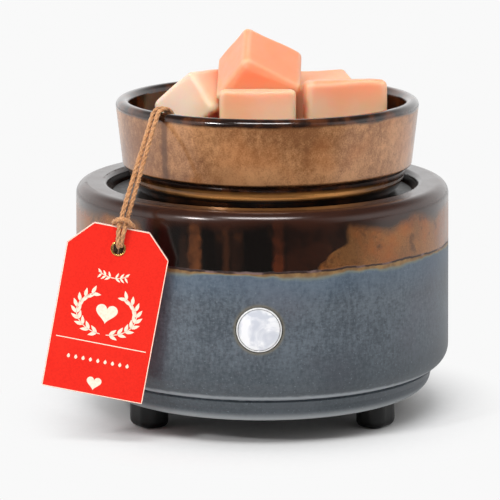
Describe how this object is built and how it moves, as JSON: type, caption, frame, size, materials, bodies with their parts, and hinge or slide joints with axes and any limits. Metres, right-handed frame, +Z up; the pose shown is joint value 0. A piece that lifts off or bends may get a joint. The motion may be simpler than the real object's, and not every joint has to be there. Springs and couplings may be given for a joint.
{
  "type": "wax melt warmer",
  "caption": "Electric wax melt warmer: round glazed stoneware base with a hot plate and a front button, a loose bronze dish of wax cubes, and a gift tag on twine.",
  "frame": {"origin": "centre of the footprint, on the surface that the feet stand on", "axes": "+Z up, -Y towards the front, where the button is"},
  "size_m": [0.1456, 0.1386, 0.1395],
  "materials": {
    "glazed_stoneware": "reactive glaze, brown-black over blue-grey, glossy",
    "bronze_glaze": "metallic bronze glaze, satin, with a glossy dark rim",
    "plate_metal": "heat-proof dark coat, satin",
    "bare_metal": "mill finish",
    "zinc_steel": "zinc plated",
    "gasket_silicone": "matte",
    "insulation": "fibrous, matte",
    "ceramic_white": "unglazed, smooth",
    "brass": "polished",
    "black_rubber": "matte",
    "black_plastic": "moulded, fine texture",
    "white_plastic": "glossy",
    "pearl_plastic": "translucent, pearly",
    "board": "solder-masked",
    "wire_jacket": "silicone jacket, matte",
    "wax": "waxy, slightly translucent",
    "red_card": "printed matte card",
    "jute": "twisted twine"
  },
  "bodies": {
    "base": {"ceramic_base": "glazed_stoneware", "hot_plate": "plate_metal", "plate_gasket": "gasket_silicone", "heating_element": "ceramic_white", "insulation_pad": "insulation", "element_strap": "zinc_steel", "strap_screws": "zinc_steel", "thermostat": "black_plastic", "thermal_fuse": "bare_metal", "fuse_clip": "zinc_steel", "tie_rods": "zinc_steel", "heat_shield": "bare_metal", "bottom_cover": "black_plastic", "cover_screws": "zinc_steel", "rubber_feet": "black_rubber", "inlet_grommet": "black_rubber", "terminal_block": "ceramic_white", "terminals": "brass", "lead_wires": "wire_jacket", "button_housing": "white_plastic", "switch_body": "black_plastic", "indicator_leds": "pearl_plastic", "control_board": "board", "board_screws": "zinc_steel"},
    "power_button": {"button_cap": "pearl_plastic", "switch_plunger": "black_plastic"},
    "dish": {"wax_dish": "bronze_glaze"},
    "melts": {"melt_front": "wax", "melt_right": "wax", "melt_back": "wax", "melt_left": "wax", "melt_rear": "wax"},
    "top_melt": {"melt_top": "wax"},
    "tag": {"tag_card": "red_card", "tag_eyelet": "brass", "twine": "jute", "twine_knot": "jute"}
  },
  "joints": [
    {"name": "button_press", "type": "slide", "parent": "base", "child": "power_button", "axis": [0, 1, 0], "range_m": [0, 0.0015], "stiffness_N_per_m": 1200, "springref_m": -0.0005},
    {"name": "dish_lift", "type": "slide", "parent": "base", "child": "dish", "axis": [0, 0, 1], "range_m": [0, 0.06]},
    {"name": "melts_lift", "type": "slide", "parent": "dish", "child": "melts", "axis": [0, 0, 1], "range_m": [0, 0.05]},
    {"name": "top_melt_lift", "type": "slide", "parent": "melts", "child": "top_melt", "axis": [0, 0, 1], "range_m": [0, 0.03]},
    {"name": "tag_swing", "type": "hinge", "parent": "dish", "child": "tag", "pos_m": [-0.0352, -0.037, 0.1165], "axis": [-0.0349, -0.9994, 0], "range_deg": [-5, 4]}
  ]
}
